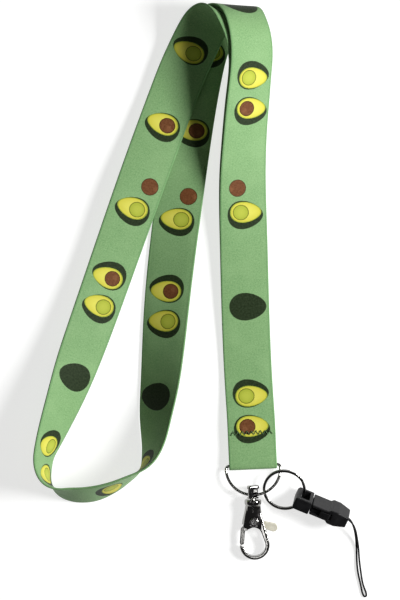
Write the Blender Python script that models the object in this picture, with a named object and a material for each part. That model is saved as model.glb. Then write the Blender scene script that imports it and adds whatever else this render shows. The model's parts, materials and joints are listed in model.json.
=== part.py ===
"""A neck lanyard laid on a table: webbing, ring, swivel hook, key ring and cord buckle.

The webbing lies along +Y. Its two ends meet at the D-ring, where they are sewn together, and the
neck loop is turned over at the far end so that its two legs come back on the left. The table is
z = 0. The hook, the key ring and the quick-release buckle with its thin cord are linked to the
D-ring and lie in front of it. The origin is on the table under the middle of the object.
"""

import math

import bmesh
import bpy
import numpy as np
from mathutils import Matrix, Vector
from mathutils.geometry import convex_hull_2d

MM = 0.001
FIT_GAP = 0.3 * MM  # between pieces that touch
RUN_GAP = 0.15 * MM  # round a pin that turns in its hole

# Webbing
STRAP_WIDTH = 20.0 * MM
STRAP_THICK = 0.9 * MM
LAYER = STRAP_THICK + FIT_GAP  # from the middle of one layer to the middle of the next
TAIL_LENGTH = 17.0 * MM  # the end that is turned up behind the ring
SEAM_RISE = 13.6 * MM  # seam above the ring's bar
SEAM_STEPS = 9  # zigzags across the webbing
SEAM_HEIGHT = 1.6 * MM
THREAD_D = 0.36 * MM
ROUTE_STEPS = 190

# D-ring
RING_WIRE_D = 1.3 * MM
RING_SIDE_GAP = 0.75 * MM  # beside the webbing
RING_CORNER_R = 1.5 * MM
RING_BOW = 0.965  # depth of the curved side over half its width
RING_TURN = math.radians(2.5)
RING_TILT = math.radians(8.5)  # its far side stands on the hook's eye
BAR = Vector((22.2 * MM, -69.1 * MM))

# Swivel hook, along its own axis from the ring's wire
HOOK_ASIDE = -0.6 * MM  # from the middle of the ring
EYE_WIDTH = 5.0 * MM
EYE_HOLE_WIDTH = 2.6 * MM
EYE_DEPTH = 2.6 * MM
EYE_TOP = 4.1 * MM
EYE_HOLE_TOP = 2.6 * MM
EYE_HOLE_BOTTOM = -0.85 * MM
EYE_TURN = math.radians(30)
HOOK_TILT = math.radians(-4.3)
POST_R = 1.1 * MM
POST_HEAD_R = 1.8 * MM
COLLAR_R = 3.55 * MM
COLLAR_TOP = -1.75 * MM
COLLAR_BOTTOM = -4.2 * MM
LOOP_R = 6.3 * MM
LOOP_CENTRE = Vector((0.75 * MM, -21.0 * MM))
LOOP_WIRE = 1.8 * MM  # width of the loop's limbs
LOOP_THICK = 3.4 * MM
NECK_TOP = Vector((3.1 * MM, 2.9 * MM))  # half width and half thickness under the collar
NECK_END = Vector((4.9 * MM, 2.3 * MM))  # the same above the loop
NECK_BOTTOM = -14.2 * MM
NOSE_TOP = -21.3 * MM  # where the gate's tip closes on the loop
PIVOT = Vector((0.5 * MM, -11.0 * MM))
PIVOT_R = 0.75 * MM
PIVOT_HEAD_R = 1.8 * MM
PIVOT_HEAD_THICK = 0.6 * MM
GATE_THICK = 1.7 * MM
GATE_WIDTH = 1.9 * MM
TAB_REACH = 10.3 * MM
TAB_WIDTH = 3.5 * MM
SPRING_R = 0.62 * MM
SPRING_WIRE_D = 0.24 * MM
SPRING_TURNS = 5

# Key ring
KEY_RING_R = 9.05 * MM
KEY_RING_BAND = 1.1 * MM
KEY_RING_PLY = 0.5 * MM
KEY_RING_PLY_GAP = 0.12 * MM
KEY_RING_OUT = 4.231 * MM  # its middle, outside the D-ring's curved side
KEY_RING_AT = math.radians(-36.284)  # and where along that side
KEY_RING_SLOPE = Vector((0.15, 0.32))  # rise along X and along Y
KEY_RING_HEIGHT = 3.85 * MM  # of its middle over the table

# Quick-release buckle, along its own axis from the key ring's wire
BUCKLE_TURN = math.radians(-25)
BUCKLE_LEAN = math.radians(24)
BUCKLE_RAISE = 2.3 * MM  # of its middle over the key ring's wire
BUCKLE_WIDTH = 10.2 * MM
HEAD_START = -3.3 * MM
HEAD_END = 3.9 * MM
HEAD_THICK = 5.6 * MM
WINDOW_START = -1.2 * MM
WINDOW_END = 2.4 * MM
WINDOW_WALL = 1.6 * MM
SOCKET_LENGTH = 16.2 * MM
SOCKET_THICK = 4.7 * MM
SOCKET_WALL = 0.9 * MM
PAD_START = 12.6 * MM  # thicker finger pads at the cord's end
PAD_THICK = 6.6 * MM
PAD_END_THICK = 4.6 * MM
PAD_END_WIDTH = 8.2 * MM
CAVITY_END = 16.6 * MM
TONGUE_LENGTH = 8.0 * MM
TONGUE_WIDTH = 2.6 * MM
TONGUE_THICK = 2.2 * MM
ARM_LENGTH = 8.6 * MM
ARM_THICK = 1.2 * MM
ARM_PAD_LENGTH = 4.6 * MM
ARM_WIDTH = 2.3 * MM
ARM_PROUD = 0.25 * MM  # arm pads over the socket's side

# Cord loop
CORD_D = 0.8 * MM
CORD_SPACING = 1.1 * MM  # between the two strands where they leave the buckle
KNOT_R = 1.25 * MM

# Where the webbing's middle runs on the table, in millimetres and degrees. The heading is that of
# the edge it carries on its right, and the lean is how far that edge stands up.
# Two layers lie on each other here: x, y, height of the middle between them, heading, lean.
FRONT = (
    (20.7, -39.9, 1.70, 2.0, 0),
    (18.9, 0.0, 1.90, 1.5, -3),
    (18.2, 26.5, 3.10, 0.5, -8),
    (17.8, 41.7, 4.70, -0.5, -14),
    (17.8, 54.2, 6.80, -2.0, -20),
    (18.1, 62.0, 8.50, -3.0, -24),
    (18.9, 74.5, 11.30, -4.0, -28),
    (19.7, 83.6, 13.90, -5.0, -30),
    (20.5, 92.5, 16.50, -5.0, -32),
)
# The outer layer turns over at the far end: x, y, height, heading, lean.
TURN_OUTER = (
    (21.3, 99.5, 18.9, -5.0, -32),
    (21.0, 106.4, 20.5, -4.0, -32),
    (20.0, 112.0, 20.6, -3.0, -31),
    (18.6, 116.6, 19.1, -2.0, -30),
    (16.6, 120.3, 16.2, 0.0, -28),
    (14.0, 121.6, 12.4, 0.0, -26),
    (11.0, 120.2, 8.6, -2.0, -20),
    (7.0, 115.6, 4.7, -6.0, -13),
    (2.9, 107.8, 1.9, -9.0, -5),
)
# The legs and the bend stand on their lower edge: x, y, layers under it, heading, lean.
RIGHT_LEG = (
    (-0.6, 94.9, 0.12, -9.5, 0),
    (-4.3, 73.9, 0.12, -9.5, 2),
    (-8.3, 45.5, 0.12, -8.5, 6),
    (-11.3, 22.2, 0.12, -7.5, 12),
    (-14.0, -3.0, 0.12, -6.0, 20),
    (-15.7, -23.8, 0.12, -5.5, 30),
    (-17.0, -36.7, 0.12, -5.0, 38),
    (-18.5, -49.0, 0.12, -4.0, 49),
    (-19.3, -57.8, 0.12, -7.0, 60),
)
BEND = (
    (-20.4, -62.9, 0.12, -18.0, 69),
    (-22.5, -67.5, 0.12, -34.0, 80),
    (-25.6, -71.3, 0.12, -50.0, 93),
    (-30.1, -74.3, 0.12, -59.0, 100),
    (-34.7, -76.9, 0.12, -64.0, 105),
    (-39.5, -79.0, 0.12, -70.0, 109),
    (-44.6, -80.5, 0.12, -79.0, 112),
    (-49.9, -81.0, 0.12, -90.0, 112),
    (-55.2, -80.4, 0.12, -103.0, 109),
    (-60.1, -78.5, 0.12, -122.0, 99),
    (-63.6, -74.9, 0.12, -152.0, 85),
    (-65.0, -70.1, 0.12, -176.0, 75),
)
LEFT_LEG = (
    (-64.8, -64.8, 0.12, -190.0, 69),
    (-63.3, -59.8, 0.12, -197.0, 63),
    (-61.3, -54.3, 0.12, -200.0, 57),
    (-56.4, -41.2, 0.12, -200.0, 44),
    (-51.3, -26.8, 0.12, -200.0, 31),
    (-46.7, -13.9, 0.12, -199.5, 25),
    (-34.5, 20.9, 0.35, -199.5, 17),
    (-28.2, 38.8, 1.4, -199.5, 13),
    (-20.8, 59.7, 1.5, -200.0, 9),
    (-11.2, 85.7, 1.5, -202.0, 5),
    (-6.9, 96.6, 1.8, -203.0, 5),
)
TURN_INNER = (
    (-3.4, 104.2, 4.3, -204.0, 7),
    (-0.1, 110.6, 6.9, -203.0, 12),
    (3.6, 115.8, 10.0, -200.0, 17),
    (8.1, 118.0, 13.4, -196.0, 22),
    (12.3, 116.9, 16.4, -191.0, 27),
    (15.9, 113.4, 18.4, -187.0, 30),
    (18.7, 108.2, 19.1, -186.0, 31),
    (20.2, 101.4, 17.9, -185.0, 32),
)
# The cord loop, from the buckle to its far end: x, y, height, and how far the upper strand lies to
# the side of the lower one and over it.
CORD_ROUTE = (
    (64.3, -94.8, 4.6, 0.2, 1.15),
    (65.4, -99.0, 2.4, 0.4, 1.1),
    (66.0, -103.5, 1.0, 0.7, 1.0),
    (66.3, -109.0, 0.9, 1.0, 0.7),
    (67.0, -115.0, 0.8, 1.15, 0.4),
    (68.2, -120.5, 0.6, 1.15, 0.2),
)
CORD_END = (69.4, -124.4)
CORD_FOLD_R = 0.62 * MM  # of the turn there
CORD_MOUTH = Vector((61.6 * MM, -91.22 * MM))  # the socket's end, which the route starts from


def clear_scene():
    for obj in list(bpy.data.objects):
        bpy.data.objects.remove(obj, do_unlink=True)


def make_material(name, color, roughness, metallic=0.0):
    material = bpy.data.materials.new(name)
    material.use_nodes = True
    shader = material.node_tree.nodes["Principled BSDF"]
    shader.inputs["Base Color"].default_value = (*color, 1.0)
    shader.inputs["Roughness"].default_value = roughness
    shader.inputs["Metallic"].default_value = metallic
    return material


def add_object(name, data, parent=None, material=None, matrix=None):
    obj = bpy.data.objects.new(name, data)
    bpy.context.scene.collection.objects.link(obj)
    obj.parent = parent
    if matrix is not None:
        obj.matrix_local = matrix
    if material is not None:
        data.materials.append(material)
    return obj


def add_empty(name, parent=None, location=(0, 0, 0), rotation=None):
    matrix = Matrix.Translation(location)
    return add_object(name, None, parent, matrix=matrix @ (rotation or Matrix.Identity(4)))


def finish_mesh(bm, name, smooth_deg=35):
    bmesh.ops.recalc_face_normals(bm, faces=bm.faces)
    mesh = bpy.data.meshes.new(name)
    bm.to_mesh(mesh)
    bm.free()
    mesh.shade_smooth()
    mesh.set_sharp_from_angle(angle=math.radians(smooth_deg))
    return mesh


def wire_curve(name, points, diameter, sides=2, closed=False):
    """A round wire or cord along the points."""
    curve = bpy.data.curves.new(name, "CURVE")
    curve.dimensions = "3D"
    curve.bevel_depth = diameter / 2
    curve.bevel_resolution = sides
    curve.use_fill_caps = not closed
    spline = curve.splines.new("POLY")
    spline.points.add(len(points) - 1)
    for slot, point in zip(spline.points, points):
        slot.co = (*point, 1.0)
    spline.use_cyclic_u = closed
    return curve


def smooth_rows(rows, samples):
    """Rows of numbers read from a natural cubic through the given rows, by distance in the first three."""
    rows = np.array(rows, float)
    steps = np.linalg.norm(np.diff(rows[:, :3], axis=0), axis=1)
    at = np.concatenate([[0.0], np.cumsum(steps)])
    count = len(at)
    system = np.eye(count)
    right = np.zeros_like(rows)
    for i in range(1, count - 1):
        before, after = steps[i - 1], steps[i]
        system[i, i - 1 : i + 2] = before, 2 * (before + after), after
        right[i] = 6 * ((rows[i + 1] - rows[i]) / after - (rows[i] - rows[i - 1]) / before)
    bends = np.linalg.solve(system, right)
    found = []
    for here in np.linspace(0, at[-1], samples):
        i = min(int(np.searchsorted(at, here, side="right")) - 1, count - 2)
        step = steps[i]
        low, high = (at[i + 1] - here) / step, (here - at[i]) / step
        found.append(
            low * rows[i]
            + high * rows[i + 1]
            + step**2 / 6 * ((low**3 - low) * bends[i] + (high**3 - high) * bends[i + 1])
        )
    return np.array(found)


def disc_points(centre, radius, count=40):
    turns = (2 * math.pi * i / count for i in range(count))
    return [(centre[0] + radius * math.cos(t), centre[1] + radius * math.sin(t)) for t in turns]


def hull_outline(*discs):
    """The outline of a band stretched round the discs, each a (centre, radius)."""
    points = [Vector(p) for centre, radius in discs for p in disc_points(centre, radius)]
    return [points[i] for i in convex_hull_2d(points)]


def extruded(name, outline, low, high):
    """A flat outline in X and Y, carried from the height low to the height high."""
    bm = bmesh.new()
    face = bm.faces.new([bm.verts.new((*point, low)) for point in outline])
    grown = bmesh.ops.extrude_face_region(bm, geom=[face])["geom"]
    moved = [item for item in grown if isinstance(item, bmesh.types.BMVert)]
    bmesh.ops.translate(bm, verts=moved, vec=(0, 0, high - low))
    return finish_mesh(bm, name)


def turned(name, profile, sides=32):
    """A solid turned about Y, from its (radius, y) profile between two points on the axis."""
    bm = bmesh.new()
    ends = [bm.verts.new((0, profile[0][1], 0)), bm.verts.new((0, profile[-1][1], 0))]
    hoops = []
    for radius, y in profile:
        turns = (2 * math.pi * i / sides for i in range(sides))
        hoops.append([bm.verts.new((radius * math.cos(t), y, radius * math.sin(t))) for t in turns])
    for first, second in zip(hoops, hoops[1:]):
        for i in range(sides):
            j = (i + 1) % sides
            bm.faces.new((first[i], first[j], second[j], second[i]))
    for hoop, end in ((hoops[0], ends[0]), (hoops[-1], ends[1])):
        for i in range(sides):
            bm.faces.new((hoop[i], hoop[(i + 1) % sides], end))
    return finish_mesh(bm, name)


def lofted(name, sections):
    """A closed solid through sections, each a list of as many points."""
    bm = bmesh.new()
    hoops = [[bm.verts.new(point) for point in section] for section in sections]
    count = len(hoops[0])
    for first, second in zip(hoops, hoops[1:]):
        for i in range(count):
            j = (i + 1) % count
            bm.faces.new((first[i], first[j], second[j], second[i]))
    bm.faces.new(hoops[0])
    bm.faces.new(hoops[-1])
    return finish_mesh(bm, name)


def box(name, low, high):
    corners = [(low[0], low[1]), (high[0], low[1]), (high[0], high[1]), (low[0], high[1])]
    return extruded(name, corners, low[2], high[2])


def bevel(obj, width, segments=2):
    modifier = obj.modifiers.new("Bevel", "BEVEL")
    modifier.width = width
    modifier.segments = segments
    modifier.limit_method = "ANGLE"
    modifier.angle_limit = math.radians(40)


def combine(obj, mesh, operation, parent, matrix=None):
    """Joins a helper solid to the object, or cuts the object with it."""
    helper = add_object(f"helper_{obj.name}_{len(obj.modifiers)}", mesh, parent, matrix=matrix)
    helper.hide_render = True
    helper.display_type = "WIRE"
    modifier = obj.modifiers.new(helper.name, "BOOLEAN")
    modifier.operation = operation
    modifier.object = helper
    return helper


def bar_point(along, height):
    """A point over the middle of the webbing, from the ring's bar towards the neck."""
    return (
        (BAR.x - math.sin(RING_TURN) * along) / MM,
        (BAR.y + math.cos(RING_TURN) * along) / MM,
        height / MM,
        math.degrees(RING_TURN),
        0.0,
    )


STACK_BASE = THREAD_D + 0.2 * MM  # the webbing is held this far up by the seam's lower thread
WRAP_R = RING_WIRE_D / 2 + FIT_GAP + STRAP_THICK / 2
TAIL_HEIGHT = STACK_BASE + STRAP_THICK / 2
BAR_HEIGHT = TAIL_HEIGHT + WRAP_R
SEAM_TOP = TAIL_HEIGHT + 2 * LAYER + STRAP_THICK / 2


def standing(rows):
    """Rows whose height comes from the lean, with the lower edge some layers over the table."""
    done = []
    for x, y, layers, heading, lean in rows:
        rise = STRAP_WIDTH / 2 * abs(math.sin(math.radians(lean)))
        half = STRAP_THICK / 2 * abs(math.cos(math.radians(lean)))
        done.append((x, y, (layers * LAYER + rise + half) / MM, heading, lean))
    return done


def one_layer(rows, side):
    """The upper (side 1) or lower (side -1) of two layers that lie on each other."""
    done = []
    for x, y, z, heading, lean in rows:
        turn, tip = math.radians(heading), math.radians(lean)
        aside = -side * LAYER / 2 / MM * math.sin(tip)
        up = side * LAYER / 2 / MM * math.cos(tip)
        done.append((x + aside * math.cos(turn), y + aside * math.sin(turn), z + up, heading, lean))
    return done


def strap_rows():
    sewn_at = TAIL_HEIGHT + 1.5 * LAYER
    sewn = [bar_point(d * MM, sewn_at + lift * MM) for d, lift in ((5, 0.15), (9, 0), (17, -0.02))]
    front = sewn + list(FRONT)
    tail = [bar_point(TAIL_LENGTH, TAIL_HEIGHT), bar_point(TAIL_LENGTH / 2, TAIL_HEIGHT)]
    tail.append(bar_point(2.0 * MM, TAIL_HEIGHT))
    wrap = []
    for deg in (-90, -135, -180, -225, -270):
        turn = math.radians(deg)
        wrap.append(bar_point(WRAP_R * math.cos(turn), BAR_HEIGHT + WRAP_R * math.sin(turn)))
    lower = [(x, y, z, heading - 180, -lean) for x, y, z, heading, lean in reversed(one_layer(front, -1))]
    return (
        tail
        + wrap
        + one_layer(front, 1)
        + list(TURN_OUTER)
        + standing(RIGHT_LEG)
        + standing(BEND)
        + standing(LEFT_LEG)
        + list(TURN_INNER)
        + lower
    )


def strap_frames():
    """The middle of the webbing and the direction across it, along its whole length."""
    rows = smooth_rows(strap_rows(), ROUTE_STEPS * 6)
    # More steps where the webbing bends.
    tangents = np.gradient(rows[:, :3], axis=0)
    tangents /= np.linalg.norm(tangents, axis=1)[:, None]
    turning = np.linalg.norm(np.diff(tangents, axis=0), axis=1)
    length = np.linalg.norm(np.diff(rows[:, :3], axis=0), axis=1)
    weight = np.concatenate([[0.0], np.cumsum(turning * 12.0 + length)])
    keep = np.searchsorted(weight, np.linspace(0, weight[-1], ROUTE_STEPS))
    keep = np.unique(np.clip(keep, 0, len(rows) - 1))
    middles, sides = [], []
    for i in keep:
        heading, lean = np.radians(rows[i, 3:])
        flat = math.cos(lean)
        side = Vector((math.cos(heading) * flat, math.sin(heading) * flat, math.sin(lean)))
        tangent = Vector(tangents[i])
        side = (side - tangent * side.dot(tangent)).normalized()
        middles.append(Vector(rows[i, :3]) * MM)
        sides.append(side)
    return middles, sides


def make_strap(parent, material):
    middles, sides = strap_frames()
    bm = bmesh.new()
    rows = []
    for middle, side in zip(middles, sides):
        rows.append([bm.verts.new(middle + side * STRAP_WIDTH / 2 * across) for across in (-1, 0, 1)])
    for first, second in zip(rows, rows[1:]):
        for i in range(2):
            bm.faces.new((first[i], first[i + 1], second[i + 1], second[i]))
    mesh = finish_mesh(bm, "neck_strap")
    strap = add_object("neck_strap", mesh, parent, material)
    solid = strap.modifiers.new("Solidify", "SOLIDIFY")
    solid.thickness = STRAP_THICK
    solid.offset = 0.0
    return strap


def make_seam(parent, material):
    """The needle thread on top and the bobbin thread underneath, zigzagging across the webbing."""
    reach = STRAP_WIDTH / 2 - 1.4 * MM
    heights = {
        "needle_thread": SEAM_TOP + THREAD_D / 2 + 0.12 * MM,
        "bobbin_thread": STACK_BASE - THREAD_D / 2 - 0.1 * MM,
    }
    for name, height in heights.items():
        points = []
        for i in range(2 * SEAM_STEPS + 1):
            across = -reach + reach * i / SEAM_STEPS
            along = SEAM_RISE + SEAM_HEIGHT / 2 * (1 if i % 2 else -1)
            points.append(Vector((across, along, height)))
        add_object(name, wire_curve(name, points, THREAD_D, sides=1), parent, material)


def ring_path():
    """The D-ring's wire: a straight bar, two corners and half a circle."""
    half = STRAP_WIDTH / 2 + RING_SIDE_GAP + RING_WIRE_D / 2
    corner_x, corner_y = half - RING_CORNER_R, -RING_CORNER_R
    points = [Vector((corner_x * (1 - i / 4), 0, 0)) for i in range(9)]
    corner_steps, arc_steps = 5, 30
    for i in range(1, corner_steps + 1):
        turn = math.radians(90 + 90 * i / corner_steps)
        x, y = RING_CORNER_R * math.cos(turn), RING_CORNER_R * math.sin(turn)
        points.append(Vector((-corner_x + x, corner_y + y, 0)))
    for i in range(1, arc_steps):
        turn = math.radians(180 + 180 * i / arc_steps)
        points.append(Vector((half * math.cos(turn), corner_y + RING_BOW * half * math.sin(turn), 0)))
    for i in range(corner_steps):
        turn = math.radians(90 * i / corner_steps)
        x, y = RING_CORNER_R * math.cos(turn), RING_CORNER_R * math.sin(turn)
        points.append(Vector((corner_x + x, corner_y + y, 0)))
    return points, half


def make_d_ring(parent, material):
    points, half = ring_path()
    curve = wire_curve("d_ring", points, RING_WIRE_D, sides=3, closed=True)
    add_object("d_ring", curve, parent, material)
    return -(RING_CORNER_R + RING_BOW * half)


def make_eye(parent, material):
    """The hook's eye: a square ring on a stud whose end is riveted over inside the hook."""
    outline = [(-1, -1), (1, -1), (1, 1), (-1, 1)]
    half = EYE_WIDTH / 2
    eye_bottom = COLLAR_TOP + FIT_GAP
    corners = [(half * x, eye_bottom if y < 0 else EYE_TOP) for x, y in outline]
    turn = Matrix.Rotation(EYE_TURN, 4, "Y")
    block = extruded("swivel_eye", corners, -EYE_DEPTH / 2, EYE_DEPTH / 2)
    eye = add_object("swivel_eye", block, parent, material, turn)
    bevel(eye, 0.6 * MM)
    hole_half = EYE_HOLE_WIDTH / 2
    hole = box(
        "eye_hole",
        (-hole_half, EYE_HOLE_BOTTOM, -EYE_DEPTH),
        (hole_half, EYE_HOLE_TOP, EYE_DEPTH),
    )
    # The hole runs through the eye along the ring's wire.
    combine(eye, hole, "DIFFERENCE", parent, Matrix.Rotation(math.radians(90), 4, "Y"))
    stud = [
        (POST_R, eye_bottom + 0.5 * MM),
        (POST_R, COLLAR_BOTTOM - 0.9 * MM),
        (POST_HEAD_R, COLLAR_BOTTOM - 1.3 * MM),
        (POST_HEAD_R, COLLAR_BOTTOM - 1.8 * MM),
        (POST_HEAD_R * 0.6, COLLAR_BOTTOM - 2.3 * MM),
    ]
    combine(eye, turned("stud", list(reversed(stud)), 20), "UNION", parent)
    return eye


def make_hook_body(parent, material):
    loop_inner = LOOP_R - LOOP_WIRE
    shoulder = ((0, COLLAR_BOTTOM - 2.5 * MM), NECK_TOP.x)
    outline = hull_outline(shoulder, (LOOP_CENTRE, LOOP_R))
    body = add_object(
        "hook_body", extruded("hook_body", outline, -LOOP_THICK / 2, LOOP_THICK / 2), parent, material
    )
    bevel(body, 0.7 * MM)

    def ellipse(y, half, steps=24):
        turns = (2 * math.pi * i / steps for i in range(steps))
        return [(half.x * math.cos(t), y, half.y * math.sin(t)) for t in turns]

    levels = (
        (COLLAR_BOTTOM + 0.5 * MM, 0.0),
        (COLLAR_BOTTOM - 3 * MM, 0.3),
        (COLLAR_BOTTOM - 6.5 * MM, 0.75),
        (NECK_BOTTOM, 1.0),
    )
    neck = lofted("neck", [ellipse(y, NECK_TOP.lerp(NECK_END, share)) for y, share in levels])
    combine(body, neck, "UNION", parent)
    rim = 0.7 * MM
    collar = [
        (COLLAR_R - rim, COLLAR_TOP),
        (COLLAR_R - 0.25 * rim, COLLAR_TOP - 0.25 * rim),
        (COLLAR_R, COLLAR_TOP - rim),
        (COLLAR_R, COLLAR_BOTTOM + rim),
        (COLLAR_R - 0.25 * rim, COLLAR_BOTTOM + 0.25 * rim),
        (COLLAR_R - rim, COLLAR_BOTTOM),
    ]
    combine(body, turned("collar", collar), "UNION", parent)

    deep = 5 * MM
    hole_centre = LOOP_CENTRE + Vector((0, -0.2 * MM))
    hole = hull_outline((hole_centre, loop_inner), ((0.3 * MM, -16.8 * MM), 3.4 * MM))
    combine(body, extruded("loop_hole", hole, -deep, deep), "DIFFERENCE", parent)
    # The nose slopes, so that the gate's tip swings clear of it.
    nose = [(-9 * MM, NOSE_TOP + 2.2 * MM), (-2.6 * MM, NOSE_TOP - 1.3 * MM)]
    gap = nose + [(-2.6 * MM, -13.9 * MM), (-9 * MM, -12.7 * MM)]
    combine(body, extruded("gate_gap", gap, -deep, deep), "DIFFERENCE", parent)
    slot_half = GATE_THICK / 2 + 0.2 * MM
    slot = [
        (-2.0 * MM, -7.4 * MM),
        (9 * MM, -7.4 * MM),
        (9 * MM, -15.9 * MM),
        (3.0 * MM, -17.5 * MM),
        (-9.0 * MM, -17.5 * MM),
        (-9.0 * MM, -13.7 * MM),
        (-5.6 * MM, -13.6 * MM),
        (-2.0 * MM, -9.7 * MM),
    ]
    combine(body, extruded("lever_slot", slot, -slot_half, slot_half), "DIFFERENCE", parent)
    bore = [
        (POST_R + RUN_GAP, COLLAR_TOP + 1 * MM),
        (POST_R + RUN_GAP, COLLAR_BOTTOM - 0.7 * MM),
        (POST_HEAD_R + FIT_GAP, COLLAR_BOTTOM - 1.1 * MM),
        (POST_HEAD_R + FIT_GAP, -8.0 * MM),
    ]
    combine(body, turned("stud_bore", list(reversed(bore)), 20), "DIFFERENCE", parent)
    drill = extruded("pivot_hole", disc_points(PIVOT, PIVOT_R + RUN_GAP, 24), -deep, deep)
    combine(body, drill, "DIFFERENCE", parent)
    for side in (-1, 1):
        seat = sorted((side * NECK_END.y * 0.9, side * deep))
        sink = extruded("rivet_seat", disc_points(PIVOT, PIVOT_HEAD_R + FIT_GAP, 28), *seat)
        combine(body, sink, "DIFFERENCE", parent)
    return body


def make_gate(parent, material):
    """The gate and its thumb tab are one lever, with the pivot's hole through its hub."""
    half = GATE_WIDTH / 2
    finger_root = Vector((-4.2 * MM, -14.5 * MM))
    finger_tip = Vector((-4.6 * MM, NOSE_TOP + half + FIT_GAP))
    hub = (PIVOT, 2.1 * MM)
    low, high = -GATE_THICK / 2, GATE_THICK / 2
    local = -PIVOT.to_3d()

    def piece(name, *discs):
        mesh = extruded(name, hull_outline(*discs), low, high)
        mesh.transform(Matrix.Translation(local))
        return mesh

    finger = piece("gate_lever", (finger_root, half), (finger_tip, half))
    lever = add_object("gate_lever", finger, parent, material)
    combine(lever, piece("web", hub, (finger_root, half)), "UNION", parent)
    tab_end = Vector((TAB_REACH - TAB_WIDTH / 2, -13.6 * MM))
    tab_root = PIVOT + Vector((1.2 * MM, -0.6 * MM))
    combine(lever, piece("tab", (tab_root, 1.2 * MM), (tab_end, TAB_WIDTH / 2)), "UNION", parent)
    hole = extruded("hub_hole", disc_points((0, 0), PIVOT_R + RUN_GAP, 20), 2 * low, 2 * high)
    combine(lever, hole, "DIFFERENCE", parent)
    return lever


def make_rivet(parent, material):
    """The gate's pivot pin, with a flat head on each side."""
    seat = NECK_END.y * 0.9 + FIT_GAP / 2
    outer = seat + PIVOT_HEAD_THICK
    profile = [
        (PIVOT_HEAD_R * 0.8, -outer),
        (PIVOT_HEAD_R, -outer + 0.25 * MM),
        (PIVOT_HEAD_R, -seat),
        (PIVOT_R, -seat),
        (PIVOT_R, seat),
        (PIVOT_HEAD_R, seat),
        (PIVOT_HEAD_R, outer - 0.25 * MM),
        (PIVOT_HEAD_R * 0.8, outer),
    ]
    mesh = turned("gate_rivet", profile, 24)
    mesh.transform(Matrix.Rotation(math.radians(90), 4, "X"))
    return add_object("gate_rivet", mesh, parent, material)


def make_gate_spring(parent, material):
    """A small coil between the slot's end and the thumb tab's arm."""
    top, bottom = Vector((3.1 * MM, -7.8 * MM)), Vector((3.3 * MM, -10.2 * MM))
    axis = bottom - top
    across = Vector((-axis.y, axis.x)).normalized()
    steps = 10 * SPRING_TURNS
    points = []
    for i in range(steps + 1):
        turn = 2 * math.pi * SPRING_TURNS * i / steps
        place = top + axis * i / steps + across * SPRING_R * math.cos(turn)
        points.append(Vector((place.x, place.y, SPRING_R * math.sin(turn))))
    add_object("gate_spring", wire_curve("gate_spring", points, SPRING_WIRE_D, sides=1), parent, material)


def make_key_ring(parent, material):
    """A flat wire wound nearly twice, that steps from the lower ply to the upper one."""
    middle = KEY_RING_R - KEY_RING_BAND / 2
    half_band, half_ply = KEY_RING_BAND / 2, KEY_RING_PLY / 2
    rise = KEY_RING_PLY + KEY_RING_PLY_GAP
    step_start, step_end, end = 318, 360, 676
    sections = []
    for deg in range(0, end + 1, 6):
        share = min(max((deg - step_start) / (step_end - step_start), 0), 1)
        height = rise * (share * share * (3 - 2 * share) - 0.5)
        turn = math.radians(deg + 70)
        out = Vector((math.cos(turn), math.sin(turn), 0))
        inside, outside = out * (middle - half_band), out * (middle + half_band)
        low, high = Vector((0, 0, height - half_ply)), Vector((0, 0, height + half_ply))
        sections.append([inside + low, outside + low, outside + high, inside + high])
    add_object("split_ring", lofted("split_ring", sections), parent, material)


def widened(x, thick, width):
    """A rectangle across the buckle at x, centred on its middle line."""
    y, z = thick / 2, width / 2
    low, high = BUCKLE_RAISE - z, BUCKLE_RAISE + z
    return [(x, -y, low), (x, y, low), (x, y, high), (x, -y, high)]


def make_head(parent, material):
    """The half that hangs on the key ring: a window, and a tongue that guides it into the socket."""
    nose = 0.8 * MM
    sections = [
        widened(HEAD_START, HEAD_THICK - 2 * nose, BUCKLE_WIDTH - nose),
        widened(HEAD_START + nose, HEAD_THICK, BUCKLE_WIDTH),
        widened(HEAD_END, HEAD_THICK, BUCKLE_WIDTH),
    ]
    head = add_object("buckle_head", lofted("buckle_head", sections), parent, material)
    bevel(head, 0.35 * MM)
    reach = BUCKLE_WIDTH / 2 - WINDOW_WALL
    window = box(
        "window",
        (WINDOW_START, -HEAD_THICK, BUCKLE_RAISE - reach),
        (WINDOW_END, HEAD_THICK, BUCKLE_RAISE + reach),
    )
    combine(head, window, "DIFFERENCE", parent)
    start, end = HEAD_END - 1.0 * MM, HEAD_END + FIT_GAP + TONGUE_LENGTH
    tongue = lofted(
        "tongue",
        [
            widened(start, TONGUE_THICK, TONGUE_WIDTH),
            widened(end - 2 * MM, TONGUE_THICK, TONGUE_WIDTH),
            widened(end, TONGUE_THICK * 0.6, TONGUE_WIDTH * 0.6),
        ],
    )
    combine(head, tongue, "UNION", parent)


def make_arm(name, side, parent, material):
    """A release arm: a thin blade from the head's shoulder with a pad that fills the socket's side slot."""
    root = HEAD_END + FIT_GAP
    inner = BUCKLE_WIDTH / 2 - SOCKET_WALL - FIT_GAP - ARM_THICK
    proud = BUCKLE_WIDTH / 2 + ARM_PROUD
    pad_start = root + ARM_LENGTH - ARM_PAD_LENGTH
    outline = [
        (root, inner),
        (root + ARM_LENGTH - 0.8 * MM, inner),
        (root + ARM_LENGTH, inner + 0.8 * MM),
        (root + ARM_LENGTH, proud - 0.5 * MM),
        (root + ARM_LENGTH - 0.5 * MM, proud),
        (pad_start + 0.5 * MM, proud),
        (pad_start, proud - 0.6 * MM),
        (pad_start - 0.5 * MM, inner + ARM_THICK),
        (root, inner + ARM_THICK),
    ]
    mesh = extruded(name, [(x, side * z) for x, z in outline], -ARM_WIDTH / 2, ARM_WIDTH / 2)
    # The outline's second direction is the buckle's width, which stands up.
    mesh.transform(Matrix(((1, 0, 0, 0), (0, 0, -1, 0), (0, 1, 0, BUCKLE_RAISE), (0, 0, 0, 1))))
    add_object(name, mesh, parent, material)


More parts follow.
